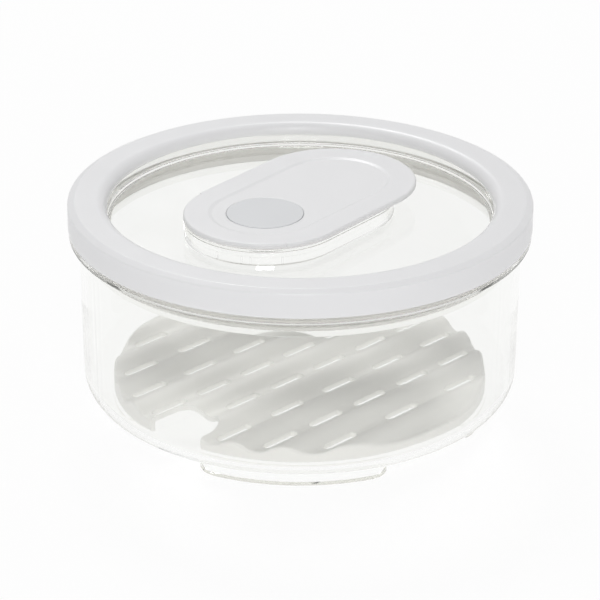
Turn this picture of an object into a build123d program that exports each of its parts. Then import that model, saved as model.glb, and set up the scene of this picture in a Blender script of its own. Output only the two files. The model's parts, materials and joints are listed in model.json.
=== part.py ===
from build123d import *
import math
import os

# Round vented food keeper: a clear bowl on four moulded feet, a drain tray on its floor and
# a ringed clear lid with a swinging vent cover. Millimetres, +Z up, origin under the bowl's
# centre on the surface that it stands on. The front of the object faces -Y.

# Bowl
bowl_rim_radius = 75.9
bowl_height = 67.6
wall_draft = 0.6
bowl_wall = 2.0
base_corner_radius = 9.8
floor_thickness = 2.2
flange_width = 3.4
flange_thickness = 2.6
flange_round = 0.5

# Feet
foot_height = 5.5
foot_width = 3.5
foot_span = 58.0
foot_turn = -2.0
foot_count = 4
foot_end_round = 4.0

# Lid ring
ring_overhang = 0.2
ring_width = 13.4
ring_height = 9.6
ring_wall = 2.2
ring_shoulder_width = 2.4
ring_shoulder_drop = 1.0
ring_crease_round = 1.5
ring_outer_round = 0.8
ring_inner_round = 3.7
ring_inner_straight = 0.1

# Lid window
window_thickness = 1.9
window_clearance = 0.2
dish_wall = 2.0
dish_corner_round = 1.5
plug_gap = 2.0
plug_wall = 1.8
plug_depth = 9.7

# Lid seal
seal_foot = 2.4
seal_head = 1.1
seal_groove = 0.6
seal_body = 1.2
seal_clearance = 0.4
seal_seat_clearance = 0.05
seal_fin_count = 2

# Vent: the oblong box moulded on the window, its cover and the cover's cap
vent_angle = 51.7
vent_spacing = 38.4
vent_radius = 27.5
vent_box_height = 5.85
vent_box_wall = 1.8
vent_box_set_back = 11.2
vent_tier_height = 3.0
vent_tier_step = 0.5
vent_slot_width = 3.0
vent_slot_length = 22.0
vent_slot_pitch = 7.5
vent_slot_count = 5
vent_slot_start = 21.0
vent_rib_width = 0.6
vent_rib_stand = 0.3
vent_rib_angles = (3.3, 22.3, 28.7, 51.3)
cover_clearance = 0.15
cover_thickness = 1.8
cover_edge_round = 0.8
cover_flush_inset = 0.1
cover_lip = 0.6
cover_lip_near_angle = 126.0
cover_lip_far_angle = 91.6
panel_inset = 9.6
panel_depth = 0.4
panel_edge_land = 0.05
cap_radius = 13.0
cap_pocket_depth = 0.6
cap_stand = 0.1
cap_edge_round = 0.2
cap_side_clearance = 0.1

# Vent hub: split prongs on the cover that turn in a hole of the vent box
hub_radius = 8.0
hub_bore_radius = 5.0
hub_running_clearance = 0.06
hub_slit = 1.6
hub_slit_count = 2
barb_stand = 0.9
barb_taper = 0.4
barb_height = 1.4
barb_gap = 0.3
stem_clearance = 0.05
stem_short = 0.4

# Drain tray
tray_clearance = 0.4
tray_height = 5.3
tray_wall = 1.8
wave_pitch = 14.6
wave_rise = 1.25
wave_angle = 46.0
wave_offset = 4.2
drain_slot_width = 3.0
drain_slot_length = 15.0
drain_bridge = 6.0
drain_margin = 4.0
notch_width = 21.6
notch_depth = 17.0

# Cuts run this far past the faces that they open
overrun = 1.0

# Places worked out from the sizes above
floor_top = foot_height + floor_thickness
flange_radius = bowl_rim_radius + flange_width
base_radius = bowl_rim_radius - wall_draft
foot_outer_radius = base_radius - base_corner_radius
inner_corner_radius = base_corner_radius - bowl_wall
ring_outer_radius = flange_radius + ring_overhang
ring_inner_radius = ring_outer_radius - ring_width
ring_top = bowl_height + ring_height
dish_wall_top = ring_top - ring_inner_round - ring_inner_straight
dish_floor = bowl_height + window_thickness
window_radius = ring_outer_radius - ring_wall - window_clearance
plug_radius = bowl_rim_radius - bowl_wall - plug_gap
plug_bottom = bowl_height - plug_depth
seal_bottom = plug_bottom + seal_foot
seal_top = bowl_height - seal_head
groove_radius = plug_radius - seal_groove
pivot_u = -vent_spacing / 2
box_far_u = vent_spacing / 2 - vent_box_set_back
box_top = dish_floor + vent_box_height
box_roof = box_top - vent_box_wall
cover_bottom = box_top + cover_clearance
cover_top = cover_bottom + cover_thickness
cover_end_radius = vent_radius + cover_flush_inset
cover_radius = cover_end_radius + cover_lip
panel_radius = cover_radius - panel_inset
panel_floor = cover_top - panel_depth
pocket_floor = panel_floor - cap_pocket_depth
barb_top = box_roof - barb_gap
hub_bottom = barb_top - barb_height
tray_radius = base_radius - bowl_wall - inner_corner_radius - tray_clearance
tray_top = floor_top + tray_height


def inner_radius_at(height):
    """Radius of the bowl's inner wall at a height."""
    share = (height - foot_height) / (bowl_height - foot_height)
    return base_radius - bowl_wall + wall_draft * share


def turned(outline, rounds=()):
    """Solid turned round Z from a closed (radius, height) outline, with some corners rounded."""
    face = make_face(Polyline(*outline, close=True))
    for corner, radius in rounds:
        point = Vector(*outline[corner])
        face = fillet(face.vertices().sort_by_distance(point)[0], radius)
    return revolve(Plane.XZ * face, Axis.Z)


def oblong(near_u, far_u, radius, bottom, top):
    """Upright oblong block between two end centres on the vent's long axis, before its turn."""
    shape = Pos((near_u + far_u) / 2, 0) * SlotCenterToCenter(far_u - near_u, 2 * radius)
    return Pos(0, 0, bottom) * extrude(shape, top - bottom)


def post(radius, bottom, top):
    """Upright round post on the vent's pivot, before its turn."""
    return Pos(pivot_u, 0, bottom) * extrude(Circle(radius), top - bottom)


def turn_to_vent(shape):
    """Turn a shape from the vent's long axis on X to its place on the lid."""
    return Rot(0, 0, vent_angle) * shape


def make_foot():
    """One arc-shaped foot, centred on -Y."""
    ring = Circle(foot_outer_radius) - Circle(foot_outer_radius - foot_width)
    reach = 2 * foot_outer_radius
    side = reach * math.tan(math.radians(foot_span / 2))
    wedge = make_face(Polyline((0, 0), (-side, -reach), (side, -reach), close=True))
    foot = extrude(ring & wedge, foot_height + floor_thickness / 2)
    ends = foot.edges().filter_by(GeomType.LINE).group_by(Axis.Z)[0]
    return fillet(ends, foot_end_round)


def make_bowl():
    """Clear bowl: drafted wall, rounded base corner, thin rim flange and four moulded feet."""
    flange_bottom = bowl_height - flange_thickness
    outline = [
        (0, foot_height),
        (base_radius, foot_height),
        (bowl_rim_radius, flange_bottom),
        (flange_radius, flange_bottom),
        (flange_radius, bowl_height),
        (inner_radius_at(bowl_height), bowl_height),
        (inner_radius_at(foot_height), floor_top),
        (0, floor_top),
    ]
    rounds = [(1, base_corner_radius), (3, flange_round), (6, inner_corner_radius)]
    bowl = turned(outline, rounds)
    for index in range(foot_count):
        bowl += Rot(0, 0, foot_turn + index * 360 / foot_count) * make_foot()
    return bowl


def make_lid_ring():
    """White ring: a channel section, open underneath, with a sloped outer shoulder."""
    outline = [
        (ring_outer_radius, bowl_height),
        (ring_outer_radius, ring_top - ring_shoulder_drop),
        (ring_outer_radius - ring_shoulder_width, ring_top),
        (ring_inner_radius, ring_top),
        (ring_inner_radius, dish_wall_top),
        (ring_inner_radius + ring_wall, dish_wall_top),
        (ring_inner_radius + ring_wall, ring_top - ring_wall),
        (ring_outer_radius - ring_wall, ring_top - ring_wall),
        (ring_outer_radius - ring_wall, bowl_height),
    ]
    rounds = [(1, ring_outer_round), (2, ring_crease_round), (3, ring_inner_round)]
    return turned(outline, rounds)


def make_vent_box():
    """Oblong vent box with two tiers of wall and short upright ribs round its pivot end."""
    lower = oblong(pivot_u, box_far_u, vent_radius - vent_tier_step, bowl_height, box_top)
    upper = oblong(pivot_u, box_far_u, vent_radius, dish_floor + vent_tier_height, box_top)
    box = lower + upper
    reach = vent_radius - vent_tier_step + vent_rib_stand
    for angle in vent_rib_angles:
        rib = Pos(reach / 2, 0, vent_tier_height / 2) * Box(reach, vent_rib_width, vent_tier_height)
        box += Pos(pivot_u, 0, dish_floor) * Rot(0, 0, 180 + angle) * rib
    return box


def make_vent_slots():
    """Cutter for the row of air slots in the vent box's roof."""
    middle = pivot_u + vent_slot_start + vent_slot_length / 2
    first = -(vent_slot_count - 1) / 2 * vent_slot_pitch
    slot = SlotOverall(vent_slot_length, vent_slot_width)
    slots = Sketch()
    for index in range(vent_slot_count):
        slots += Pos(middle, first + index * vent_slot_pitch) * slot
    return Pos(0, 0, box_roof - overrun) * extrude(slots, vent_box_wall + 2 * overrun)


def make_lid_window():
    """Clear lid: flat plate, dish wall, plug wall with a seal groove and the hollow vent box."""
    outline = [
        (0, bowl_height),
        (plug_radius - plug_wall, bowl_height),
        (plug_radius - plug_wall, plug_bottom),
        (plug_radius, plug_bottom),
        (plug_radius, seal_bottom),
        (groove_radius, seal_bottom),
        (groove_radius, seal_top),
        (plug_radius, seal_top),
        (plug_radius, bowl_height),
        (window_radius, bowl_height),
        (window_radius, dish_floor),
        (ring_inner_radius + dish_wall, dish_floor),
        (ring_inner_radius + dish_wall, dish_wall_top),
        (ring_inner_radius, dish_wall_top),
        (ring_inner_radius, dish_floor),
        (0, dish_floor),
    ]
    window = turned(outline, [(14, dish_corner_round)])
    window += turn_to_vent(make_vent_box())
    hollow_radius = vent_radius - vent_tier_step - vent_box_wall
    hollow = oblong(pivot_u, box_far_u, hollow_radius, bowl_height - overrun, box_roof)
    hole = post(hub_radius + hub_running_clearance, box_roof - overrun, box_top + overrun)
    return window - turn_to_vent(hollow + hole + make_vent_slots())


def make_lid_seal():
    """Soft seal in the plug's groove, with two fins that reach towards the bowl's wall."""
    inner = groove_radius + seal_seat_clearance
    body = inner + seal_body
    fin_height = (seal_top - seal_bottom) / seal_fin_count
    outline = [(inner, seal_bottom), (body, seal_bottom)]
    for index in range(seal_fin_count):
        root = seal_bottom + (index + 1) * fin_height
        tip = root - fin_height / 2
        outline += [(inner_radius_at(tip) - seal_clearance, tip), (body, root)]
    outline.append((inner, seal_top))
    return turned(outline)


def make_rounded_oblong(radius):
    """Oblong plate of the cover's thickness with its upper edge rounded."""
    plate = oblong(pivot_u, -pivot_u, radius, cover_bottom, cover_top)
    return fillet(plate.faces().sort_by(Axis.Z)[-1].edges(), cover_edge_round)


def make_cover_plate():
    """Cover plate: a plain round end over the pivot, and a lip standing out round the rest."""
    reach = 2 * cover_radius
    start = cover_lip_far_angle
    end = 360 - cover_lip_near_angle
    corners = [(0, 0)]
    for angle in (start, (start + end) / 2, end):
        turn = math.radians(angle)
        corners.append((reach * math.cos(turn), reach * math.sin(turn)))
    sector = make_face(Polyline(*corners, close=True))
    plain_end = Pos(pivot_u, 0, cover_bottom - overrun) * extrude(sector, cover_thickness + 2 * overrun)
    lipped = make_rounded_oblong(cover_radius) - plain_end
    return lipped + (make_rounded_oblong(cover_end_radius) & plain_end)


def make_hub():
    """Split tube under the cover: it turns in the vent box's hole and its barbs hold it there."""
    outline = [
        (hub_bore_radius, cover_bottom),
        (hub_bore_radius, hub_bottom),
        (hub_radius - barb_taper, hub_bottom),
        (hub_radius + barb_stand, barb_top),
        (hub_radius, barb_top),
        (hub_radius, cover_bottom),
    ]
    hub = turned(outline)
    width = 2 * (hub_radius + barb_stand + overrun)
    depth = box_top - hub_bottom + overrun
    for index in range(hub_slit_count):
        slit = Box(width, hub_slit, depth, align=(Align.CENTER, Align.CENTER, Align.MAX))
        hub -= Pos(0, 0, box_top) * Rot(0, 0, index * 180 / hub_slit_count) * slit
    return Pos(pivot_u, 0) * hub


def make_vent_cover():
    """White vent cover: oblong plate with a shallow panel, a round pocket and a split hub."""
    cover = make_cover_plate()
    cover -= oblong(pivot_u, -pivot_u, panel_radius, panel_floor, cover_top + overrun)
    spine = Line((pivot_u, 0, cover_top), (-pivot_u, 0, cover_top))
    rim = cover.edges().group_by(Axis.Z)[-1]
    rim = rim.filter_by(lambda edge: spine.distance_to(edge) < panel_radius + panel_depth)
    cover = fillet(rim, panel_depth - panel_edge_land)
    cover -= post(cap_radius + cap_side_clearance, pocket_floor, cover_top + overrun)
    cover += make_hub()
    cover -= post(hub_bore_radius, hub_bottom - overrun, cover_top + overrun)
    return turn_to_vent(cover)


def make_vent_cap():
    """Plain round cap in the cover's pocket, with a stem that locks the hub's prongs."""
    head = post(cap_radius, pocket_floor, panel_floor + cap_stand)
    head = fillet(head.faces().sort_by(Axis.Z)[-1].edges(), cap_edge_round)
    stem = post(hub_bore_radius - stem_clearance, hub_bottom + stem_short, pocket_floor)
    return turn_to_vent(head + stem)


def wave_arcs(height):
    """Arcs of the tray's wave across its ridges, with a trough along the finger notch's middle."""
    count = math.ceil(2 * tray_radius / wave_pitch) + 1
    half = wave_pitch / 2
    arcs = []
    for index in range(-count, count + 1):
        rise = -wave_rise if index % 2 == 0 else wave_rise
        middle = index * half - wave_offset
        start = (middle - half / 2, height)
        end = (middle + half / 2, height)
        arcs.append(ThreePointArc(start, (middle, height + rise), end))
    return arcs


def wave_block(top_arcs, bottom_edges):
    """Block along the ridges between the wave's top and a lower line."""
    near_side = Line(top_arcs[0] @ 0, bottom_edges[0] @ 0)
    far_side = Line(top_arcs[-1] @ 1, bottom_edges[-1] @ 1)
    face = make_face(top_arcs + bottom_edges + [near_side, far_side])
    return extrude(Plane.YZ * face, tray_radius + overrun, both=True)


def tray_block(shape):
    """Upright block of a flat shape, from the bowl's floor to over the tray's crests."""
    return Pos(0, 0, floor_top) * extrude(shape, tray_height + wave_rise + overrun)


def clears_notch(along, offset):
    """Whether a slot leaves a web to the finger notch, beside it or past its inner end."""
    beside = abs(offset + wave_offset) > notch_width / 2 + drain_slot_width
    past = along - drain_slot_length / 2 > notch_depth + drain_slot_width - tray_radius
    return beside or past


def make_drain_slots():
    """Flat shapes of the rows of slots along the tray's troughs, each row from rim to rim."""
    reach = tray_radius - drain_margin
    widest = math.sqrt(reach**2 - (drain_slot_length / 2) ** 2)
    first = math.ceil((wave_offset - widest) / wave_pitch)
    last = math.floor((wave_offset + widest) / wave_pitch)
    slot = SlotOverall(drain_slot_length, drain_slot_width)
    slots = []
    for row in range(first, last + 1):
        offset = row * wave_pitch - wave_offset
        room = 2 * math.sqrt(reach**2 - offset**2) - drain_slot_length
        gaps = math.floor(room / (drain_slot_length + drain_bridge))
        for index in range(gaps + 1):
            along = (index - gaps / 2) * room / max(gaps, 1)
            if clears_notch(along, offset):
                slots.append(Pos(along, offset) * slot)
    return slots


def make_notch():
    """Flat shape of the tray's finger notch, which ends one of the troughs."""
    inner_end = tray_radius - notch_depth + notch_width / 2
    outer_end = tray_radius + notch_width
    shape = SlotCenterToCenter(outer_end - inner_end, notch_width)
    return Pos(-(inner_end + outer_end) / 2, -wave_offset) * shape


def make_drain_tray():
    """White strainer: a corrugated sheet on a round skirt, with drain slots and a finger notch."""
    top_arcs = wave_arcs(tray_top)
    under_arcs = wave_arcs(tray_top - tray_wall)
    ends = (under_arcs[0] @ 0, under_arcs[-1] @ 1)
    foot_line = Line((ends[0].X, floor_top), (ends[1].X, floor_top))
    disc = Circle(tray_radius) - make_notch()
    rim = disc - Circle(tray_radius - tray_wall)
    sheet = wave_block(top_arcs, under_arcs) & tray_block(disc - make_drain_slots())
    skirt = wave_block(top_arcs, [foot_line]) & tray_block(rim)
    return Rot(0, 0, wave_angle) * (sheet + skirt)


def main():
    """Build every piece and write each to its own file."""
    pieces = {
        "bowl": make_bowl(),
        "drain_tray": make_drain_tray(),
        "lid_window": make_lid_window(),
        "lid_ring": make_lid_ring(),
        "lid_seal": make_lid_seal(),
        "vent_cover": make_vent_cover(),
        "vent_cap": make_vent_cap(),
    }
    os.makedirs("parts", exist_ok=True)
    for name, piece in pieces.items():
        export_step(piece, "parts/" + name + ".step")


main()
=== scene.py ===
import json
import math

import bmesh
import bpy
from bmesh.types import BMEdge, BMFace, BMVert
from bpy.props import FloatProperty, FloatVectorProperty, IntProperty, PointerProperty
from mathutils import Matrix, Vector


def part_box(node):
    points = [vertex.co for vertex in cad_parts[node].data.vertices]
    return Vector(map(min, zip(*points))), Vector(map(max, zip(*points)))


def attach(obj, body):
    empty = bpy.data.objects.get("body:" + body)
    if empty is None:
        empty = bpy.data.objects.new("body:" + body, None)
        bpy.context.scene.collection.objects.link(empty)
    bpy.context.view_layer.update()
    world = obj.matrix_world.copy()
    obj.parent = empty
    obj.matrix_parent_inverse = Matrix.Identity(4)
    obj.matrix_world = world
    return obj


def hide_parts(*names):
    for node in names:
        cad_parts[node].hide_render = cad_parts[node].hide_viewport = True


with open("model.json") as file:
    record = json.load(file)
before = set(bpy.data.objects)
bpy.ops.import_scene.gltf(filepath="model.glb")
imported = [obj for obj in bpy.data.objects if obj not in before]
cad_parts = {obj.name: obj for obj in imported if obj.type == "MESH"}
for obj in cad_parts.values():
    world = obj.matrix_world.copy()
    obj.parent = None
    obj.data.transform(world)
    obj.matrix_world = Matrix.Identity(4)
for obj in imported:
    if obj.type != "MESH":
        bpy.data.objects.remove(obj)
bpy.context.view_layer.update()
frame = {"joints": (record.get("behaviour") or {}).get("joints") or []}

bl_info = {
    "name": "Vented Food Keeper",
    "version": (1, 0, 0),
    "blender": (4, 5, 0),
    "location": "View3D > Sidebar > Keeper",
    "description": "Builds a round clear food keeper with a drain tray and a vented, ringed lid",
    "category": "Object",
}

UP = Vector((0, 0, 1))
ORIGIN = Vector((0, 0, 0))

# Distances in metres within which points count as one, or lie on a cutting plane
SAME = 1e-6
ON_PLANE = 1e-7
# Edges bent by more than this stay sharp
SHARP_ANGLE = math.radians(42)
# The filler wants larger numbers than metres give, and no rows of points along one axis
FILL_ASIDE = Matrix.Rotation(0.37, 4, "Z") @ Matrix.Scale(1000.0, 4)
# Strips that half a wave of the tray is cut into, and steps on a foot's lower edges
WAVE_STRIPS = 5
FOOT_EDGE_STEPS = 3
SENSOR_WIDTH = 36.0
# Place, diameter in metres and power in watts of each lamp
LAMPS = {
    "key_lamp": ((0.0, -1.2, 1.2), 0.6, 8.5),
    "back_lamp": ((-0.2, 1.0, 1.25), 0.4, 7.0),
}

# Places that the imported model's boxes and joints give
BOWL_LOW, BOWL_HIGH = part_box("bowl")
RING_LOW, RING_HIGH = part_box("lid_ring")
WINDOW_LOW, WINDOW_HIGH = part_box("lid_window")
SEAL_LOW, SEAL_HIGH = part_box("lid_seal")
TRAY_LOW, TRAY_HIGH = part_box("drain_tray")
COVER_LOW, COVER_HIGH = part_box("vent_cover")
CAP_LOW, CAP_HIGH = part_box("vent_cap")
JOINTS = {joint["name"]: joint for joint in frame["joints"]}
PIVOT = Vector(JOINTS["vent_swing"]["pos_m"])
VENT_ANGLE = math.atan2(-PIVOT.y, -PIVOT.x)
VENT_HALF = math.hypot(PIVOT.x, PIVOT.y)
COVER_BOTTOM = PIVOT.z
# Centres of the vent's two ends before it is turned to its place
NEAR_END = Vector((-VENT_HALF, 0, 0))
FAR_END = Vector((VENT_HALF, 0, 0))


def length(name, description, default):
    """Length property in metres."""
    units = {"precision": 5, "unit": "LENGTH", "subtype": "DISTANCE"}
    return FloatProperty(name=name, description=description, default=default, min=0.0, **units)


def angle(name, description, degrees):
    """Angle property, given in degrees and kept in radians."""
    units = {"unit": "ROTATION", "subtype": "ANGLE"}
    return FloatProperty(name=name, description=description, default=math.radians(degrees), **units)


def share(name, description, default):
    """Plain factor from 0 to 1."""
    limits = {"min": 0.0, "max": 1.0, "subtype": "FACTOR"}
    return FloatProperty(name=name, description=description, default=default, **limits)


def colour(name, description, default):
    """Linear colour property."""
    limits = {"size": 3, "min": 0.0, "max": 1.0, "subtype": "COLOR"}
    return FloatVectorProperty(name=name, description=description, default=default, **limits)


def count(name, description, default):
    """Whole number of one or more."""
    return IntProperty(name=name, description=description, default=default, min=1)


class KeeperBowlSizes(bpy.types.PropertyGroup):
    """Sizes of the bowl, its flange and its feet."""

    wall: length("Wall", "Thickness of the side wall", 0.002)
    draft: length("Draft", "How much narrower the wall is at its foot", 0.0006)
    floor: length("Floor", "Thickness of the floor", 0.0022)
    corner: length("Base corner", "Outer radius of the rounded base", 0.0098)
    flange_width: length("Flange width", "How far the rim stands out", 0.0034)
    flange_thickness: length("Flange thickness", "Thickness of the rim", 0.0026)
    rim_round: length("Rim round", "Radius on the rim's edges", 0.0004)
    foot_width: length("Foot width", "Radial width of a foot", 0.0035)
    foot_span: angle("Foot span", "Angle that one foot covers", 58.0)
    foot_middle: angle("Foot middle", "Direction of the first foot", 268.0)
    foot_count: count("Feet", "Number of feet", 4)
    foot_end: length("Foot end", "Radius on a foot's ends", 0.004)
    foot_edge: length("Foot edge", "Radius along a foot's lower edges", 0.0005)


class KeeperLidSizes(bpy.types.PropertyGroup):
    """Sizes of the lid's ring, window and seal."""

    ring_width: length("Ring width", "Radial width of the white ring", 0.0134)
    ring_wall: length("Ring wall", "Thickness of the ring's walls", 0.0022)
    ring_shoulder_width: length("Shoulder width", "Width of the sloped outer shoulder", 0.0024)
    ring_shoulder_drop: length("Shoulder drop", "Height of the sloped outer shoulder", 0.001)
    ring_crease_round: length("Crease round", "Radius where the shoulder meets the top", 0.0008)
    ring_outer_round: length("Ring outer round", "Radius on the outer edge", 0.0008)
    ring_inner_round: length("Ring inner round", "Radius on the inner edge", 0.0037)
    ring_inner_straight: length("Inner straight", "Upright land of the inner wall", 0.0001)
    edge_round: length("Edge round", "Radius on small moulded edges", 0.0002)
    window: length("Window", "Thickness of the clear plate", 0.0019)
    dish_wall: length("Dish wall", "Thickness of the upright dish wall", 0.002)
    dish_corner: length("Dish corner", "Radius where the dish wall meets the plate", 0.0015)
    plug_gap: length("Plug gap", "Room between the plug and the bowl's wall", 0.002)
    plug_wall: length("Plug wall", "Thickness of the plug's wall", 0.0018)
    seal_groove: length("Seal groove", "Depth of the seal's groove", 0.0006)
    seal_body: length("Seal body", "Thickness of the seal without its fins", 0.0012)
    seal_fins: count("Seal fins", "Number of fins", 2)
    plate_hold: length("Plate hold", "Radius where the plate's turned part begins", 0.056)


class KeeperVentSizes(bpy.types.PropertyGroup):
    """Sizes of the vent box, its cover and its cap."""

    radius: length("Box radius", "End radius of the vent box", 0.0275)
    tier_step: length("Tier step", "How far the lower tier is set in", 0.0005)
    tier_height: length("Tier height", "Height of the lower tier", 0.003)
    set_back: length("Set back", "How far the box stops short of the cover's end", 0.0112)
    wall: length("Box wall", "Thickness of the box's wall and roof", 0.0018)
    box_round: length("Box round", "Radius on the box's edges", 0.0004)
    land: length("Land", "Flat strip beside a rounded edge", 0.0008)
    rib_width: length("Rib width", "Width of a short upright rib", 0.0006)
    rib_stand: length("Rib stand", "How far a rib stands out", 0.0003)
    rib_angles: FloatVectorProperty(
        name="Rib angles",
        description="Directions of the ribs round the pivot, from the box's end",
        default=[math.radians(degrees) for degrees in (3.3, 22.3, 28.7, 51.3)],
        size=4,
        unit="ROTATION",
    )
    hole: length("Hub hole", "Radius of the hole that the hub turns in", 0.00806)
    slot_width: length("Slot width", "Width of an air slot", 0.003)
    slot_length: length("Slot length", "Length of an air slot", 0.022)
    slot_pitch: length("Slot pitch", "Distance between air slots", 0.0075)
    slot_start: length("Slot start", "From the pivot to the slots' near ends", 0.021)
    slot_count: count("Slots", "Number of air slots", 5)
    cover_radius: length("Cover radius", "End radius of the cover with its lip", 0.0282)
    cover_round: length("Cover round", "Radius on the cover's upper edge", 0.0008)
    lip: length("Lip", "How far the cover's lip stands out", 0.0006)
    lip_near: angle("Lip near", "Where the lip starts, from the long axis", 234.0)
    lip_far: angle("Lip far", "Where the lip ends, from the long axis", 91.6)
    panel_inset: length("Panel inset", "From the cover's edge to its panel", 0.0096)
    panel_depth: length("Panel depth", "Depth of the shallow panel", 0.0004)
    panel_slope: length("Panel slope", "Width of the panel's sloped edge", 0.0011)
    panel_round: length("Panel round", "Radius on the panel's edge", 0.0009)
    pocket_depth: length("Pocket depth", "Depth of the cap's pocket below the panel", 0.0006)
    pocket_gap: length("Pocket gap", "Room round the cap", 0.0001)
    pocket_round: length("Pocket round", "Radius on the pocket's edge", 0.0004)
    hub_bore: length("Hub bore", "Radius of the hole through the cover", 0.005)
    hub_radius: length("Hub radius", "Radius of the split hub", 0.008)
    barb: length("Barb", "How far the hub's barbs stand out", 0.0009)
    barb_height: length("Barb height", "Height of a barb", 0.0014)
    prong_gap: angle("Prong gap", "Angle of the slit between two prongs", 14.0)
    prong_count: count("Prongs", "Number of prongs", 4)
    cap_round: length("Cap round", "Radius on the cap's edge", 0.00025)
    stem_gap: length("Stem gap", "Room round the cap's stem", 0.00005)


class KeeperTraySizes(bpy.types.PropertyGroup):
    """Sizes of the drain tray."""

    wall: length("Wall", "Thickness of the tray", 0.0018)
    rise: length("Rise", "Height of a ridge over the mean surface", 0.00125)
    pitch: length("Pitch", "Distance between ridges", 0.0146)
    turn: angle("Turn", "Direction of the ridges", 46.0)
    offset: length("Offset", "From the middle to the trough that the notch ends", 0.0042)
    rim_round: length("Rim round", "Radius on the tray's rim", 0.001)
    slot_width: length("Slot width", "Width of a drain slot", 0.003)
    slot_length: length("Slot length", "Length of a drain slot", 0.015)
    slot_bridge: length("Slot bridge", "Smallest web between two slots of a row", 0.006)
    slot_margin: length("Slot margin", "From the slots to the rim", 0.004)
    slot_round: length("Slot round", "Radius on a slot's upper edge", 0.0004)
    notch_width: length("Notch width", "Width of the finger notch", 0.0216)
    notch_depth: length("Notch depth", "Depth of the finger notch", 0.017)


class KeeperFinish(bpy.types.PropertyGroup):
    """Colours and mesh fineness."""

    clear: colour("Clear plastic", "Tint of the clear plastic", (0.985, 0.988, 0.982))
    lid_white: colour("Lid white", "Ring and cover", (0.80, 0.80, 0.81))
    tray_white: colour("Tray white", "Drain tray", (0.90, 0.895, 0.87))
    cap_grey: colour("Cap grey", "Round cap", (0.70, 0.71, 0.725))
    seal_grey: colour("Seal grey", "Soft seal", (0.90, 0.89, 0.87))
    passing: colour("Passing tint", "Tint of light that goes straight on", (0.97, 0.97, 0.962))
    caught: count("Caught depth", "Bounces after which light goes straight on", 2)
    arc_error: length("Arc error", "Largest gap between an arc and its chords", 0.000006)
    seat_gap: length("Seat gap", "Room left where two pieces rest on each other", 0.00004)


class KeeperStage(bpy.types.PropertyGroup):
    """Camera, floor and light."""

    aim_height: length("Aim height", "Height of the point that the camera looks at", 0.03764)
    distance: length("Distance", "From the camera to that point", 0.999)
    elevation: angle("Elevation", "How far the camera looks down", 24.777)
    roll: angle("Roll", "Turn of the picture", 0.2)
    lens: FloatProperty(
        name="Lens", description="Focal length on a 36 mm sensor", default=172.546, unit="CAMERA"
    )
    floor_size: length("Floor size", "Half the floor's width", 6.0)
    floor_glow: share("Floor glow", "Part of the floor's white that is its own light", 0.93)
    floor_white: colour("Floor white", "Colour of the floor", (0.9, 0.9, 0.9))
    floor_rough: share("Floor roughness", "Roughness of the floor", 0.9)
    ambient: share("Ambient", "Brightness of the room light on the object", 0.58)


def arc_steps(radius, turn=math.pi / 2):
    """Steps that keep an arc's chords within the named error."""
    error = bpy.context.scene.keeper_finish.arc_error
    return max(3, math.ceil(turn / (2 * math.acos(max(0.0, 1 - error / radius)))))


def soften(bm, geom, affect, offset, steps):
    """Round corners or edges."""
    bmesh.ops.bevel(
        bm,
        geom=geom,
        affect=affect,
        offset=offset,
        offset_type="OFFSET",
        segments=steps,
        profile=0.5,
        material=-1,
        clamp_overlap=False,
    )


def chain(bm, corners, closed=False):
    """Wire in the XZ plane through corners of radius, height and, where rounded, a rounding."""
    verts = [bm.verts.new((corner[0], 0, corner[1])) for corner in corners]
    followers = verts[1:] + verts[:1] if closed else verts[1:]
    for pair in zip(verts, followers):
        bm.edges.new(pair)
    for vert, corner in zip(verts, corners):
        if len(corner) < 3:
            continue
        sides = [edge.other_vert(vert).co - vert.co for edge in vert.link_edges]
        between = sides[0].angle(sides[1])
        offset = corner[2] / math.tan(between / 2)
        soften(bm, [vert], "VERTICES", offset, arc_steps(corner[2], math.pi - between))
    return loose_wire(bm)


def loose_wire(bm):
    """Edges with no face yet, and their vertices."""
    edges = [edge for edge in bm.edges if edge.is_wire]
    verts = dict.fromkeys(vert for edge in edges for vert in edge.verts)
    return edges + list(verts)


def only(geom, kind):
    """The members of a list of geometry that are of one kind."""
    return [item for item in geom if isinstance(item, kind)]


def shift(bm, wire, by):
    """Move a wire."""
    bmesh.ops.translate(bm, verts=only(wire, BMVert), vec=by)


def turn_wire(bm, wire, by, centre=ORIGIN):
    """Turn a wire about an upright axis."""
    turn = Matrix.Rotation(by, 3, "Z")
    bmesh.ops.rotate(bm, verts=only(wire, BMVert), cent=centre, matrix=turn)


def full_turn(bm, wire, centre=ORIGIN):
    """Turn a wire all the way round an upright axis."""
    bmesh.ops.spin(
        bm,
        geom=wire,
        cent=centre,
        axis=UP,
        angle=2 * math.pi,
        steps=arc_steps(widest(wire, centre), 2 * math.pi),
        use_merge=True,
    )


def widest(wire, centre):
    """Largest distance of a wire from an upright axis."""
    return max((vert.co - Vector(centre)).xy.length for vert in only(wire, BMVert))


def part_turn(bm, wire, by, centre=ORIGIN, steps=None):
    """Turn a wire part of the way round an upright axis and return where it ends."""
    steps = steps or arc_steps(widest(wire, centre), by)
    made = bmesh.ops.spin(bm, geom=wire, cent=centre, axis=UP, angle=by, steps=steps)
    return made["geom_last"]


def slide(bm, wire, by):
    """Pull a wire straight and return where it ends."""
    made = bmesh.ops.extrude_edge_only(bm, edges=only(wire, BMEdge))["geom"]
    shift(bm, made, by)
    return only(made, BMVert) + only(made, BMEdge)


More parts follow.
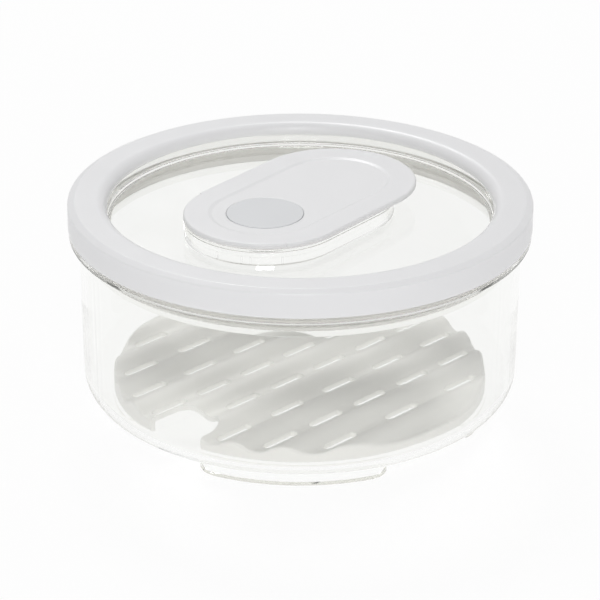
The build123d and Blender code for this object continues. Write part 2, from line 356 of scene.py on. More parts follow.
def oblong(bm, corners, near, far):
    """Carry a chain, whose radii are from the ends' centres, round an oblong along X."""
    old = set(bm.verts)
    wire = chain(bm, corners)
    turn_wire(bm, wire, -math.pi / 2)
    shift(bm, wire, (far, 0, 0))
    wire = part_turn(bm, wire, math.pi, (far, 0, 0))
    wire = slide(bm, wire, (near - far, 0, 0))
    wire = part_turn(bm, wire, math.pi, (near, 0, 0))
    slide(bm, wire, (far - near, 0, 0))
    made = [vert for vert in bm.verts if vert not in old]
    bmesh.ops.remove_doubles(bm, verts=made, dist=SAME)
    return [vert for vert in made if vert.is_valid]


def repeat(bm, verts, places):
    """Copy a loose form to each of the places, then take the first one away."""
    parts = (part for vert in verts for part in (vert, *vert.link_edges, *vert.link_faces))
    geom = list(dict.fromkeys(parts))
    for place in places:
        shift(bm, bmesh.ops.duplicate(bm, geom=geom)["geom"], place)
    bmesh.ops.delete(bm, geom=verts, context="VERTS")


def weld(bm):
    """Merge vertices that lie on each other."""
    bmesh.ops.remove_doubles(bm, verts=bm.verts[:], dist=SAME)


def at_level(part, height):
    """Whether an edge or a face lies at one height."""
    return all(abs(vert.co.z - height) < SAME for vert in part.verts)


def fill_level(bm, height):
    """Close the flat region between the open edges at one height."""
    edges = [edge for edge in bm.edges if len(edge.link_faces) < 2 and at_level(edge, height)]
    verts = list(dict.fromkeys(vert for edge in edges for vert in edge.verts))
    space = Matrix.Identity(4)
    bmesh.ops.transform(bm, matrix=FILL_ASIDE, space=space, verts=verts)
    bmesh.ops.triangle_fill(bm, use_beauty=True, use_dissolve=False, edges=edges)
    bmesh.ops.transform(bm, matrix=FILL_ASIDE.inverted(), space=space, verts=verts)


def pull(bm, faces):
    """Extrude faces, take the old ones away and return what was made."""
    made = bmesh.ops.extrude_face_region(bm, geom=faces)["geom"]
    bmesh.ops.delete(bm, geom=[face for face in faces if face.is_valid], context="FACES")
    return made


def finish_piece(bm, name, material, body):
    """Turn a closed bmesh into the piece that stands for the CAD node of the same name."""
    weld(bm)
    bmesh.ops.recalc_face_normals(bm, faces=bm.faces[:])
    open_edges = sum(not edge.is_manifold for edge in bm.edges)
    if open_edges:
        raise RuntimeError(f"{name} has {open_edges} open edges")
    mesh = bpy.data.meshes.new(name + "_shape")
    bm.to_mesh(mesh)
    bm.free()
    mesh.shade_smooth()
    mesh.set_sharp_from_angle(angle=SHARP_ANGLE)
    mesh.materials.append(material)
    piece = bpy.data.objects.new(name + "_piece", mesh)
    bpy.context.scene.collection.objects.link(piece)
    weighted = piece.modifiers.new("Weighted normals", "WEIGHTED_NORMAL")
    weighted.keep_sharp = True
    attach(piece, body)
    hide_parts(name)
    return piece


def new_material(name):
    """Empty node material with its shader and output."""
    material = bpy.data.materials.new(name)
    material.use_nodes = True
    tree = material.node_tree
    tree.nodes.clear()
    output = tree.nodes.new("ShaderNodeOutputMaterial")
    shader = tree.nodes.new("ShaderNodeBsdfPrincipled")
    tree.links.new(shader.outputs["BSDF"], output.inputs["Surface"])
    return material, tree, shader, output


def set_inputs(node, values):
    """Set some of a node's inputs."""
    for name, value in values.items():
        node.inputs[name].default_value = value


def noise(tree, scale, detail):
    """Noise over the piece's own coordinates."""
    place = tree.nodes.new("ShaderNodeTexCoord")
    texture = tree.nodes.new("ShaderNodeTexNoise")
    set_inputs(texture, {"Scale": scale, "Detail": detail})
    tree.links.new(place.outputs["Object"], texture.inputs["Vector"])
    return texture


def vary(tree, texture, socket, low, high):
    """Drive a shader's value from a noise, between two limits."""
    spread = tree.nodes.new("ShaderNodeMapRange")
    set_inputs(spread, {"From Min": 0.3, "From Max": 0.7, "To Min": low, "To Max": high})
    tree.links.new(texture.outputs["Fac"], spread.inputs["Value"])
    tree.links.new(spread.outputs["Result"], socket)


def tone(tree, texture, socket, base, spread):
    """Drive a colour from a noise, a little darker and lighter than its base."""
    ramp = tree.nodes.new("ShaderNodeValToRGB")
    for element, factor in zip(ramp.color_ramp.elements, (1 - spread, 1 + spread)):
        element.color = [min(1.0, part * factor) for part in base] + [1.0]
    tree.links.new(texture.outputs["Fac"], ramp.inputs["Fac"])
    tree.links.new(ramp.outputs["Color"], socket)


def grain(tree, texture, shader, depth):
    """Fine bump from a noise; depth is in metres."""
    bump = tree.nodes.new("ShaderNodeBump")
    bump.inputs["Distance"].default_value = depth
    tree.links.new(texture.outputs["Fac"], bump.inputs["Height"])
    tree.links.new(bump.outputs["Normal"], shader.inputs["Normal"])


def joined(tree, operation, first, second):
    """Two sockets joined by a math node."""
    node = tree.nodes.new("ShaderNodeMath")
    node.operation = operation
    tree.links.new(first, node.inputs[0])
    tree.links.new(second, node.inputs[1])
    return node.outputs["Value"]


def mixed(tree, factor, first, second, output):
    """Mix two shaders by a socket, or by a plain share, into an output."""
    mix = tree.nodes.new("ShaderNodeMixShader")
    if isinstance(factor, float):
        mix.inputs["Fac"].default_value = factor
    else:
        tree.links.new(factor, mix.inputs["Fac"])
    tree.links.new(first, mix.inputs[1])
    tree.links.new(second, mix.inputs[2])
    tree.links.new(mix.outputs["Shader"], output.inputs["Surface"])


def satin_plastic(name, base, rough, depth, glow):
    """Moulded plastic with a fine spark-eroded grain that lets some light spread under its skin."""
    material, tree, shader, _ = new_material(name)
    spread = 0.05
    tone(tree, noise(tree, scale=35.0, detail=2.0), shader.inputs["Base Color"], base, spread=0.012)
    patches = noise(tree, scale=90.0, detail=3.0)
    vary(tree, patches, shader.inputs["Roughness"], rough - spread, rough + spread)
    grain(tree, noise(tree, scale=2600.0, detail=2.0), shader, depth)
    set_inputs(shader, {"IOR": 1.49, "Subsurface Weight": glow})
    set_inputs(shader, {"Subsurface Radius": (1.0, 1.0, 1.0), "Subsurface Scale": 0.002})
    return material


def clear_plastic():
    """Polished clear plastic; lamps shine through it, and light caught in it goes straight on."""
    finish = bpy.context.scene.keeper_finish
    material, tree, shader, output = new_material("clear_moulded_plastic")
    set_inputs(shader, {"Base Color": (*finish.clear, 1.0), "Transmission Weight": 1.0, "IOR": 1.35})
    patches = noise(tree, scale=60.0, detail=2.0)
    vary(tree, patches, shader.inputs["Roughness"], low=0.0, high=0.03)
    grain(tree, noise(tree, scale=70.0, detail=1.0), shader, depth=0.0000005)
    path = tree.nodes.new("ShaderNodeLightPath")
    caught = tree.nodes.new("ShaderNodeMath")
    caught.operation = "GREATER_THAN"
    caught.inputs[1].default_value = finish.caught
    tree.links.new(path.outputs["Ray Depth"], caught.inputs[0])
    straight = joined(tree, "MAXIMUM", path.outputs["Is Shadow Ray"], caught.outputs["Value"])
    passing = tree.nodes.new("ShaderNodeBsdfTransparent")
    passing.inputs["Color"].default_value = (*finish.passing, 1.0)
    mixed(tree, straight, shader.outputs["BSDF"], passing.outputs["BSDF"], output)
    return material


def lid_plastic():
    """White satin plastic of the ring and the cover."""
    finish = bpy.context.scene.keeper_finish
    return satin_plastic(
        "satin_lid_plastic", finish.lid_white, rough=0.36, depth=0.000004, glow=0.4
    )


def seal_rubber():
    """Milky soft seal that lets some light through."""
    finish = bpy.context.scene.keeper_finish
    material, tree, shader, _ = new_material("milky_seal_rubber")
    clouds = noise(tree, scale=50.0, detail=2.0)
    tone(tree, clouds, shader.inputs["Base Color"], finish.seal_grey, spread=0.02)
    patches = noise(tree, scale=120.0, detail=2.0)
    vary(tree, patches, shader.inputs["Roughness"], low=0.35, high=0.5)
    grain(tree, noise(tree, scale=1500.0, detail=2.0), shader, depth=0.000004)
    set_inputs(shader, {"Transmission Weight": 0.7, "IOR": 1.41})
    return material


def kept_material(name, make):
    """The material of that name, made the first time that it is asked for."""
    return bpy.data.materials.get(name) or make()


class KeeperBuildBowl(bpy.types.Operator):
    """Build the clear bowl with its flange and four arc feet."""

    bl_idname = "keeper.build_bowl"
    bl_label = "Build bowl"

    def execute(self, context):
        """Turn the section in stretches, finer at the feet's ends, then pull the feet down."""
        sizes = context.scene.keeper_bowl
        bm = bmesh.new()
        top = BOWL_HIGH.z
        under = TRAY_LOW.z - sizes.floor
        rim = BOWL_HIGH.x - sizes.flange_width
        base = rim - sizes.draft
        foot_outer = base - sizes.corner
        flange_under = top - sizes.flange_thickness
        section = [
            (0, under),
            (foot_outer - sizes.foot_width, under),
            (base, under, sizes.corner),
            (rim, flange_under, sizes.rim_round),
            (BOWL_HIGH.x, flange_under, sizes.rim_round),
            (BOWL_HIGH.x, top, sizes.rim_round),
            (rim - sizes.wall, top, sizes.rim_round),
            (base - sizes.wall, TRAY_LOW.z, sizes.corner - sizes.wall),
            (0, TRAY_LOW.z),
        ]
        wire = chain(bm, section)
        self.turn_bowl(bm, wire, sizes, foot_outer)
        self.pull_feet(bm, sizes, foot_outer, under)
        material = kept_material("clear_moulded_plastic", clear_plastic)
        finish_piece(bm, "bowl", material, "bowl")
        return {"FINISHED"}

    def turn_bowl(self, bm, wire, sizes, foot_outer):
        """Full turn of the section, foot by foot."""
        end = sizes.foot_end / foot_outer
        fine = arc_steps(sizes.foot_end)
        middle = sizes.foot_span - 2 * end
        between = 2 * math.pi / sizes.foot_count - sizes.foot_span
        turn_wire(bm, wire, sizes.foot_middle - sizes.foot_span / 2)
        for _ in range(sizes.foot_count):
            for by, steps in ((end, fine), (middle, None), (end, fine), (between, None)):
                wire = part_turn(bm, wire, by, steps=steps)
        weld(bm)

    def pull_feet(self, bm, sizes, foot_outer, under):
        """Pull the feet down from the base, round their ends and soften their lower edges."""
        half = sizes.foot_span / 2
        step = 2 * math.pi / sizes.foot_count

        def off_middle(point):
            """Angle of a point from the middle of its nearest foot."""
            turned = math.atan2(point.y, point.x) - sizes.foot_middle
            return abs((turned + step / 2) % step - step / 2)

        def in_foot(face):
            """Whether a face of the base lies over a foot."""
            middle = face.calc_center_median()
            radius = math.hypot(middle.x, middle.y)
            level = abs(middle.z - under) < SAME
            across = foot_outer - sizes.foot_width < radius < foot_outer
            return level and across and off_middle(middle) < half

        made = pull(bm, [face for face in bm.faces if in_foot(face)])
        lower = only(made, BMVert)
        for vert in lower:
            from_end = (half - off_middle(vert.co)) * foot_outer
            missing = max(0.0, sizes.foot_end - from_end)
            reach = math.sqrt(max(0.0, sizes.foot_end**2 - missing**2))
            vert.co.z = BOWL_LOW.z + sizes.foot_end - reach
        bottom = set(only(made, BMFace))
        along = [
            edge
            for edge in only(made, BMEdge)
            if sum(face in bottom for face in edge.link_faces) == 1
            and abs(edge.verts[0].co.xy.length - edge.verts[1].co.xy.length) < SAME
        ]
        upright = [
            edge
            for vert in lower
            if (half - off_middle(vert.co)) * foot_outer < SAME
            for edge in vert.link_edges
            if (edge.other_vert(vert).co - vert.co).xy.length < SAME
        ]
        soften(bm, along + upright, "EDGES", sizes.foot_edge, FOOT_EDGE_STEPS)


class KeeperBuildTray(bpy.types.Operator):
    """Build the corrugated drain tray with its slots, skirt and finger notch."""

    bl_idname = "keeper.build_tray"
    bl_label = "Build drain tray"

    def execute(self, context):
        """Lay the tray out flat, cut it into strips along its ridges and lift them into waves."""
        sizes = context.scene.keeper_tray
        finish = context.scene.keeper_finish
        bm = bmesh.new()
        radius = TRAY_HIGH.x
        self.make_rim(bm, sizes, radius)
        self.make_slots(bm, sizes, radius)
        weld(bm)
        fill_level(bm, 0)
        fill_level(bm, -sizes.wall)
        open_edges = [edge for edge in bm.edges if len(edge.link_faces) == 1]
        bmesh.ops.holes_fill(bm, edges=open_edges, sides=0)
        self.make_waves(bm, sizes, radius)
        middle = TRAY_HIGH.z - sizes.rise
        floor = TRAY_LOW.z + finish.seat_gap
        for vert in bm.verts:
            vert.co.z = max(floor, vert.co.z + middle)
        turn_wire(bm, bm.verts[:], sizes.turn)
        material = satin_plastic(
            "satin_tray_plastic", finish.tray_white, rough=0.42, depth=0.000006, glow=0.25
        )
        finish_piece(bm, "drain_tray", material, "tray")
        return {"FINISHED"}

    def make_rim(self, bm, sizes, radius):
        """Skirt round the rim, open at the finger notch, and the notch's own wall."""
        inner = radius - sizes.wall
        skirt = TRAY_HIGH.z - sizes.rise - TRAY_LOW.z
        half = sizes.notch_width / 2
        near = math.asin((sizes.offset + half) / inner)
        far = math.asin((half - sizes.offset) / inner)
        rounding = sizes.slot_round
        section = [
            (inner, 0),
            (radius, 0, sizes.rim_round),
            (radius, -skirt, rounding),
            (inner, -skirt, rounding),
            (inner, -sizes.wall),
        ]
        wire = chain(bm, section)
        turn_wire(bm, wire, math.pi + near)
        part_turn(bm, wire, 2 * math.pi - near - far)
        end = radius - sizes.notch_depth + half
        wire = chain(bm, [(half, 0), (half, -sizes.wall)])
        turn_wire(bm, wire, -math.pi / 2)
        shift(bm, wire, (-inner * math.cos(near), -sizes.offset, 0))
        wire = slide(bm, wire, (inner * math.cos(near) - end, 0, 0))
        wire = part_turn(bm, wire, math.pi, (-end, -sizes.offset, 0))
        slide(bm, wire, (end - inner * math.cos(far), 0, 0))

    def make_slots(self, bm, sizes, radius):
        """Rows of drain slots along the troughs from rim to rim, each with a rounded upper edge."""
        reach = radius - sizes.slot_margin
        step = sizes.slot_length + sizes.slot_bridge
        half = sizes.slot_width / 2
        straight = sizes.slot_length / 2 - half
        widest_row = math.sqrt(reach**2 - (sizes.slot_length / 2) ** 2)
        first = math.ceil((sizes.offset - widest_row) / sizes.pitch)
        last = math.floor((sizes.offset + widest_row) / sizes.pitch)
        places = []
        for row in range(first, last + 1):
            across = row * sizes.pitch - sizes.offset
            room = 2 * math.sqrt(reach**2 - across**2) - sizes.slot_length
            gaps = math.floor(room / step)
            for index in range(gaps + 1):
                along = (index - gaps / 2) * room / max(gaps, 1)
                if self.clears_notch(sizes, radius, along, across):
                    places.append((along, across, 0))
        corners = [
            (half + 2 * sizes.slot_round, 0),
            (half, 0, sizes.slot_round),
            (half, -sizes.wall),
        ]
        repeat(bm, oblong(bm, corners, -straight, straight), places)

    def clears_notch(self, sizes, radius, along, across):
        """Whether a slot leaves a web to the finger notch, beside it or past its inner end."""
        beside = abs(across + sizes.offset) > sizes.notch_width / 2 + sizes.slot_width
        past = along - sizes.slot_length / 2 > sizes.notch_depth + sizes.slot_width - radius
        return beside or past

    def make_waves(self, bm, sizes, radius):
        """Cut the flat tray into strips along X and lift each cut to its place on the wave."""
        half = sizes.pitch / 2
        lines = math.ceil((radius + sizes.offset) / half * WAVE_STRIPS)
        for line in range(-lines, lines + 1):
            bmesh.ops.bisect_plane(
                bm,
                geom=bm.verts[:] + bm.edges[:] + bm.faces[:],
                dist=ON_PLANE,
                plane_co=(0, line * half / WAVE_STRIPS - sizes.offset, 0),
                plane_no=(0, 1, 0),
            )
        arc = ((half / 2) ** 2 + sizes.rise**2) / (2 * sizes.rise)
        skirt_edge = -sizes.wall - sizes.rim_round
        for vert in bm.verts:
            index = round((vert.co.y + sizes.offset) / half)
            across = vert.co.y + sizes.offset - index * half
            bulge = math.sqrt(arc**2 - across**2) - (arc - sizes.rise)
            if vert.co.z > skirt_edge:
                vert.co.z += bulge if index % 2 else -bulge


class KeeperBuildRing(bpy.types.Operator):
    """Build the white ring of the lid."""

    bl_idname = "keeper.build_ring"
    bl_label = "Build lid ring"

    def execute(self, context):
        """Turn the ring's channel section."""
        sizes = context.scene.keeper_lid
        finish = context.scene.keeper_finish
        bm = bmesh.new()
        outer = RING_HIGH.x
        inner = outer - sizes.ring_width
        top = RING_HIGH.z
        bottom = RING_LOW.z + finish.seat_gap
        lip = top - sizes.ring_inner_round - sizes.ring_inner_straight + finish.seat_gap
        under = top - sizes.ring_wall
        edge = sizes.edge_round
        section = [
            (outer, bottom, edge),
            (outer, top - sizes.ring_shoulder_drop, sizes.ring_outer_round),
            (outer - sizes.ring_shoulder_width, top, sizes.ring_crease_round),
            (inner, top, sizes.ring_inner_round - finish.seat_gap),
            (inner, lip),
            (inner + sizes.ring_wall, lip, edge),
            (inner + sizes.ring_wall, under, edge),
            (outer - sizes.ring_wall, under, edge),
            (outer - sizes.ring_wall, bottom, edge),
        ]
        wire = chain(bm, section, closed=True)
        full_turn(bm, wire)
        material = kept_material("satin_lid_plastic", lid_plastic)
        finish_piece(bm, "lid_ring", material, "lid")
        return {"FINISHED"}


class KeeperBuildWindow(bpy.types.Operator):
    """Build the clear lid plate with its dish wall, plug and vent box."""

    bl_idname = "keeper.build_window"
    bl_label = "Build lid window"

    def execute(self, context):
        """Turn the outer part, carry the vent box's walls round and fill the flats between them."""
        lid = context.scene.keeper_lid
        vent = context.scene.keeper_vent
        bm = bmesh.new()
        under = RING_LOW.z
        plate = under + lid.window
        roof = WINDOW_HIGH.z
        ceiling = roof - vent.wall
        near, far = -VENT_HALF, VENT_HALF - vent.set_back
        lower = vent.radius - vent.tier_step
        hollow = lower - vent.wall
        edge = vent.box_round
        section = [
            (lower + vent.land, plate),
            (lower, plate, edge),
            (lower, plate + vent.tier_height, edge / 4),
            (vent.radius, plate + vent.tier_height, edge / 2),
            (vent.radius, roof, edge),
            (vent.radius - vent.land, roof),
        ]
        oblong(bm, section, near, far)
        section = [
            (hollow + vent.land, under),
            (hollow, under, edge),
            (hollow, ceiling, edge),
            (hollow - vent.land, ceiling),
        ]
        oblong(bm, section, near, far)
        for turned in vent.rib_angles:
            self.raise_rib(bm, vent, turned, plate + edge, plate + vent.tier_height - edge)
        self.open_roof(bm, vent, ceiling, roof)
        self.turn_outer(bm, lid, under, plate)
        weld(bm)
        for height in (under, plate, ceiling, roof):
            fill_level(bm, height)
        turn_wire(bm, bm.verts[:], VENT_ANGLE)
        material = kept_material("clear_moulded_plastic", clear_plastic)
        finish_piece(bm, "lid_window", material, "lid")
        return {"FINISHED"}

    def turn_outer(self, bm, lid, under, plate):
        """Plate edge, dish wall, rim flange and plug with its seal groove."""
        gap = bpy.context.scene.keeper_finish.seat_gap
        inner = RING_HIGH.x - lid.ring_width
        dish_top = RING_HIGH.z - lid.ring_inner_round - lid.ring_inner_straight
        bowl = bpy.context.scene.keeper_bowl
        plug = BOWL_HIGH.x - bowl.flange_width - bowl.wall - lid.plug_gap
        groove = plug - lid.seal_groove
        edge = lid.edge_round
        section = [
            (lid.plate_hold, plate),
            (inner, plate, lid.dish_corner),
            (inner, dish_top, edge),
            (inner + lid.dish_wall, dish_top, edge),
            (inner + lid.dish_wall, plate, edge),
            (WINDOW_HIGH.x, plate, edge),
            (WINDOW_HIGH.x, under + gap, edge),
            (plug, under + gap, edge),
            (plug, SEAL_HIGH.z, edge),
            (groove, SEAL_HIGH.z),
            (groove, SEAL_LOW.z),
            (plug, SEAL_LOW.z, edge),
            (plug, WINDOW_LOW.z, edge),
            (plug - lid.plug_wall, WINDOW_LOW.z, edge),
            (plug - lid.plug_wall, under, 2 * edge),
            (lid.plate_hold, under),
        ]
        wire = chain(bm, section)
        full_turn(bm, wire)

    def raise_rib(self, bm, vent, turned, low, high):
        """Short upright rib on the lower tier, at an angle round its pivot end."""
        lower = vent.radius - vent.tier_step
        out = Vector((-math.cos(turned), -math.sin(turned), 0))
        side = UP.cross(out)

        def on_rib(face, width):
            """Whether a face of the tier's wall lies within a width of the rib's middle."""
            spot = face.calc_center_median() - NEAR_END
            upright = low < spot.z < high and abs(spot.xy.length - lower) < vent.rib_stand
            return upright and spot.dot(out) > 0 and abs(spot.dot(side)) < width

        for sign in (-1, 1):
            faces = [face for face in bm.faces if on_rib(face, 3 * vent.rib_width)]
            parts = (part for face in faces for part in (face, *face.edges, *face.verts))
            bmesh.ops.bisect_plane(
                bm,
                geom=list(dict.fromkeys(parts)),
                dist=ON_PLANE,
                plane_co=NEAR_END + side * (sign * vent.rib_width / 2),
                plane_no=side,
            )
        made = pull(bm, [face for face in bm.faces if on_rib(face, vent.rib_width / 2)])
        shift(bm, made, out * vent.rib_stand)

    def open_roof(self, bm, vent, ceiling, roof):
        """Walls of the hub's hole and of the air slots."""
        wire = chain(bm, [(vent.hole, ceiling), (vent.hole, roof)])
        shift(bm, wire, NEAR_END)
        full_turn(bm, wire, NEAR_END)
        half = vent.slot_width / 2
        start = vent.slot_start - VENT_HALF
        ends = (start + half, start + vent.slot_length - half)
        places = []
        for index in range(vent.slot_count):
            places.append((0, (index - (vent.slot_count - 1) / 2) * vent.slot_pitch, 0))
        repeat(bm, oblong(bm, [(half, ceiling), (half, roof)], *ends), places)


class KeeperBuildSeal(bpy.types.Operator):
    """Build the soft seal in the plug's groove."""

    bl_idname = "keeper.build_seal"
    bl_label = "Build lid seal"

    def execute(self, context):
        """Turn the seal's finned section."""
        lid = context.scene.keeper_lid
        bowl = context.scene.keeper_bowl
        finish = context.scene.keeper_finish
        bm = bmesh.new()
        plug = BOWL_HIGH.x - bowl.flange_width - bowl.wall - lid.plug_gap
        inner = plug - lid.seal_groove + finish.seat_gap
        body = inner + lid.seal_body
        bottom = SEAL_LOW.z + finish.seat_gap
        top = SEAL_HIGH.z - finish.seat_gap
        fin = (top - bottom) / lid.seal_fins
        edge = lid.edge_round
        corners = [(inner, bottom), (body, bottom)]
        for index in range(lid.seal_fins):
            root = bottom + (index + 1) * fin
            corners.append((SEAL_HIGH.x, root - fin / 2, edge))
            corners.append((body, root))
        corners.append((inner, top))
        full_turn(bm, chain(bm, corners, closed=True))
        finish_piece(bm, "lid_seal", seal_rubber(), "lid")
        return {"FINISHED"}


class KeeperBuildCover(bpy.types.Operator):
    """Build the oblong vent cover with its lip, panel, cap pocket and split hub."""

    bl_idname = "keeper.build_cover"
    bl_label = "Build vent cover"

    def execute(self, context):
        """Carry the edge round, sink the panel and the pocket, then add the prongs."""
        vent = context.scene.keeper_vent
        bm = bmesh.new()
        top = COVER_HIGH.z
        panel = top - vent.panel_depth
        pocket = panel - vent.pocket_depth
        self.carry_edge(bm, vent, top)
        panel_radius = vent.cover_radius - vent.panel_inset
        section = [
            (panel_radius + vent.panel_slope, top),
            (panel_radius + vent.panel_slope / 2, top, vent.panel_round),
            (panel_radius - vent.panel_slope / 2, panel, vent.panel_round),
            (panel_radius - vent.panel_slope, panel),
        ]
        oblong(bm, section, -VENT_HALF, VENT_HALF)
        pocket_radius = (CAP_HIGH.x - CAP_LOW.x) / 2 + vent.pocket_gap
        section = [
            (pocket_radius + vent.land, panel),
            (pocket_radius, panel, vent.pocket_round),
            (pocket_radius, pocket),
            (vent.hub_bore, pocket),
            (vent.hub_bore, COVER_BOTTOM),
        ]
        wire = chain(bm, section)
        shift(bm, wire, NEAR_END)
        full_turn(bm, wire, NEAR_END)
        self.add_prongs(bm, vent)
        weld(bm)
        for height in (top, panel, COVER_BOTTOM):
            fill_level(bm, height)
        turn_wire(bm, bm.verts[:], VENT_ANGLE)
        material = kept_material("satin_lid_plastic", lid_plastic)
        finish_piece(bm, "vent_cover", material, "vent")
        return {"FINISHED"}

    def carry_edge(self, bm, vent, top):
        """Rounded edge of the cover: a lip all round but for the plain end over the pivot."""
        radius = vent.cover_radius
        edge = vent.pocket_round / 2
        section = [
            (radius - 2 * vent.cover_round, COVER_BOTTOM),
            (radius, COVER_BOTTOM, edge),
            (radius, top, vent.cover_round),
            (radius - 2 * vent.cover_round, top),
        ]
        wire = chain(bm, section)
        turn_wire(bm, wire, vent.lip_near)
        shift(bm, wire, NEAR_END)
        inward = Vector((math.cos(vent.lip_far), math.sin(vent.lip_far), 0)) * -vent.lip
        outward = Vector((math.cos(vent.lip_near), math.sin(vent.lip_near), 0)) * vent.lip
        wire = part_turn(bm, wire, 1.5 * math.pi - vent.lip_near, NEAR_END)
        wire = slide(bm, wire, FAR_END - NEAR_END)
        wire = part_turn(bm, wire, math.pi, FAR_END)
        wire = slide(bm, wire, NEAR_END - FAR_END)
        wire = part_turn(bm, wire, vent.lip_far - math.pi / 2, NEAR_END)
        wire = slide(bm, wire, inward)
        wire = part_turn(bm, wire, vent.lip_near - vent.lip_far, NEAR_END)
        slide(bm, wire, outward)
        weld(bm)

    def add_prongs(self, bm, vent):
        """Split hub: each prong is a part turn of one section, open where it joins the cover."""
        bottom = COVER_LOW.z
        inner = vent.hub_bore + 3 * vent.pocket_gap
        barb = bottom + vent.barb_height
        step = 2 * math.pi / vent.prong_count
        span = step - vent.prong_gap
        section = [
            (inner, COVER_BOTTOM),
            (inner, bottom),
            (vent.hub_radius - vent.barb / 2, bottom),
            (vent.hub_radius + vent.barb, barb),
            (vent.hub_radius, barb),
            (vent.hub_radius, COVER_BOTTOM),
        ]
        for index in range(vent.prong_count):
            wire = chain(bm, section, closed=True)
            prong = bmesh.ops.contextual_create(bm, geom=only(wire, BMEdge))["faces"] + wire
            turn_wire(bm, prong, index * step + vent.prong_gap / 2)
            shift(bm, prong, NEAR_END)
            part_turn(bm, prong, span, NEAR_END)
        lids = [
            face
            for face in bm.faces
            if at_level(face, COVER_BOTTOM)
            and (face.calc_center_median() - NEAR_END).xy.length < vent.hub_radius
        ]
        bmesh.ops.delete(bm, geom=lids, context="FACES")


class KeeperBuildCap(bpy.types.Operator):
    """Build the plain round cap over the vent's pivot."""

    bl_idname = "keeper.build_cap"
    bl_label = "Build vent cap"

    def execute(self, context):
        """Turn the cap's section with its stem."""
        vent = context.scene.keeper_vent
        finish = context.scene.keeper_finish
        bm = bmesh.new()
        radius = (CAP_HIGH.x - CAP_LOW.x) / 2
        seat = COVER_HIGH.z - vent.panel_depth - vent.pocket_depth + finish.seat_gap
        stem = vent.hub_bore - vent.stem_gap
        section = [
            (0, CAP_HIGH.z),
            (radius, CAP_HIGH.z, vent.cap_round),
            (radius, seat, vent.cap_round / 2),
            (stem, seat),
            (stem, CAP_LOW.z, vent.cap_round),
            (0, CAP_LOW.z),
        ]
        wire = chain(bm, section)
        full_turn(bm, wire)
        shift(bm, bm.verts[:], (PIVOT.x, PIVOT.y, 0))
        material = satin_plastic(
            "satin_cap_plastic", finish.cap_grey, rough=0.38, depth=0.000004, glow=0.0
        )
        finish_piece(bm, "vent_cap", material, "vent")
        return {"FINISHED"}


def floor_material(stage):
    """White floor that keeps a faint shadow of the object."""
    material, tree, shader, output = new_material("pale_floor")
    set_inputs(shader, {"Base Color": (*stage.floor_white, 1.0), "Roughness": stage.floor_rough})
    glow = tree.nodes.new("ShaderNodeEmission")
    mixed(tree, stage.floor_glow, shader.outputs["BSDF"], glow.outputs["Emission"], output)
    return material


def seen_directly(tree, path):
    """1 for rays from the camera, or sent on by gloss or clear walls, until one lights a surface."""
    socket = path.outputs["Is Camera Ray"]
    for name in ("Is Glossy Ray", "Is Transmission Ray"):
        socket = joined(tree, "MAXIMUM", socket, path.outputs[name])
    return joined(tree, "GREATER_THAN", socket, path.outputs["Diffuse Depth"])


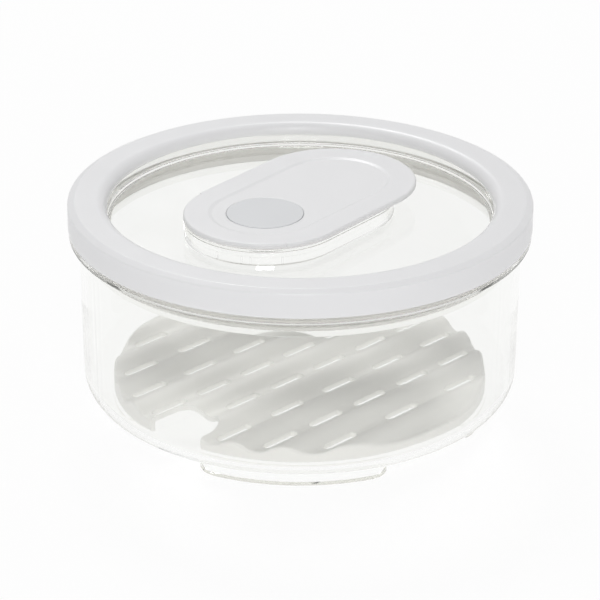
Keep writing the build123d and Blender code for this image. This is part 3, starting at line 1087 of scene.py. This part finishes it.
class KeeperBuildStage(bpy.types.Operator):
    """Build the floor, the light and the camera."""

    bl_idname = "keeper.build_stage"
    bl_label = "Build stage"

    def execute(self, context):
        """Lay the floor, light the room and set the camera at the photograph's angle."""
        stage = context.scene.keeper_stage
        self.lay_floor(stage)
        self.light_room(context, stage)
        for name, (place, size, power) in LAMPS.items():
            self.hang_lamp(name, Vector(place), size, power)
        self.set_camera(context, stage)
        context.scene.view_settings.view_transform = "Standard"
        return {"FINISHED"}

    def lay_floor(self, stage):
        """Plain pale floor under the feet."""
        bm = bmesh.new()
        bmesh.ops.create_grid(bm, x_segments=1, y_segments=1, size=stage.floor_size)
        mesh = bpy.data.meshes.new("floor_shape")
        bm.to_mesh(mesh)
        bm.free()
        mesh.materials.append(floor_material(stage))
        floor = bpy.data.objects.new("floor", mesh)
        floor.location.z = -bpy.context.scene.keeper_finish.seat_gap
        bpy.context.scene.collection.objects.link(floor)

    def light_room(self, context, stage):
        """White room: full white where it is seen, softer where it lights the object."""
        world = bpy.data.worlds.new("white_room")
        world.use_nodes = True
        tree = world.node_tree
        tree.nodes.clear()
        output = tree.nodes.new("ShaderNodeOutputWorld")
        seen = tree.nodes.new("ShaderNodeBackground")
        light = tree.nodes.new("ShaderNodeBackground")
        light.inputs["Strength"].default_value = stage.ambient
        path = tree.nodes.new("ShaderNodeLightPath")
        first, second = light.outputs["Background"], seen.outputs["Background"]
        mixed(tree, seen_directly(tree, path), first, second, output)
        context.scene.world = world

    def hang_lamp(self, name, place, size, power):
        """Round soft lamp that faces the object."""
        data = bpy.data.lights.new(name, "AREA")
        data.shape = "DISK"
        data.size = size
        data.energy = power
        lamp = bpy.data.objects.new(name, data)
        lamp.location = place
        lamp.rotation_euler = (-place).to_track_quat("-Z", "Y").to_euler()
        bpy.context.scene.collection.objects.link(lamp)

    def set_camera(self, context, stage):
        """Camera at the photograph's height and distance."""
        data = bpy.data.cameras.new("camera")
        data.lens = stage.lens
        data.sensor_width = SENSOR_WIDTH
        camera = bpy.data.objects.new("camera", data)
        back = Vector((0, -math.cos(stage.elevation), math.sin(stage.elevation)))
        camera.location = Vector((0, 0, stage.aim_height)) + back * stage.distance
        facing = (-back).to_track_quat("-Z", "Y").to_matrix() @ Matrix.Rotation(stage.roll, 3, "Z")
        camera.rotation_euler = facing.to_euler()
        context.scene.collection.objects.link(camera)
        context.scene.camera = camera


class KeeperPanel(bpy.types.Panel):
    """Sidebar panel that lists the keeper's pieces."""

    bl_idname = "VIEW3D_PT_keeper"
    bl_label = "Food Keeper"
    bl_space_type = "VIEW_3D"
    bl_region_type = "UI"
    bl_category = "Keeper"

    def draw(self, context):
        """One button for each piece, then the sizes."""
        for operator in OPERATORS:
            self.layout.operator(operator.bl_idname)
        for name in GROUPS:
            group = getattr(context.scene, name)
            box = self.layout.box()
            for field in group.bl_rna.properties.keys():
                if field not in ("rna_type", "name"):
                    box.prop(group, field)


GROUPS = {
    "keeper_bowl": KeeperBowlSizes,
    "keeper_lid": KeeperLidSizes,
    "keeper_vent": KeeperVentSizes,
    "keeper_tray": KeeperTraySizes,
    "keeper_finish": KeeperFinish,
    "keeper_stage": KeeperStage,
}
OPERATORS = (
    KeeperBuildBowl,
    KeeperBuildTray,
    KeeperBuildWindow,
    KeeperBuildRing,
    KeeperBuildSeal,
    KeeperBuildCover,
    KeeperBuildCap,
    KeeperBuildStage,
)
CLASSES = (*GROUPS.values(), *OPERATORS, KeeperPanel)


def register():
    """Register the classes and hang the sizes on the scene."""
    for cls in CLASSES:
        bpy.utils.register_class(cls)
    for name, group in GROUPS.items():
        setattr(bpy.types.Scene, name, PointerProperty(type=group))


def unregister():
    """Undo register."""
    for name in GROUPS:
        delattr(bpy.types.Scene, name)
    for cls in reversed(CLASSES):
        bpy.utils.unregister_class(cls)


def main():
    """Build every piece in order."""
    register()
    for operator in OPERATORS:
        group, name = operator.bl_idname.split(".")
        getattr(getattr(bpy.ops, group), name)()


if __name__ == "__main__":
    main()
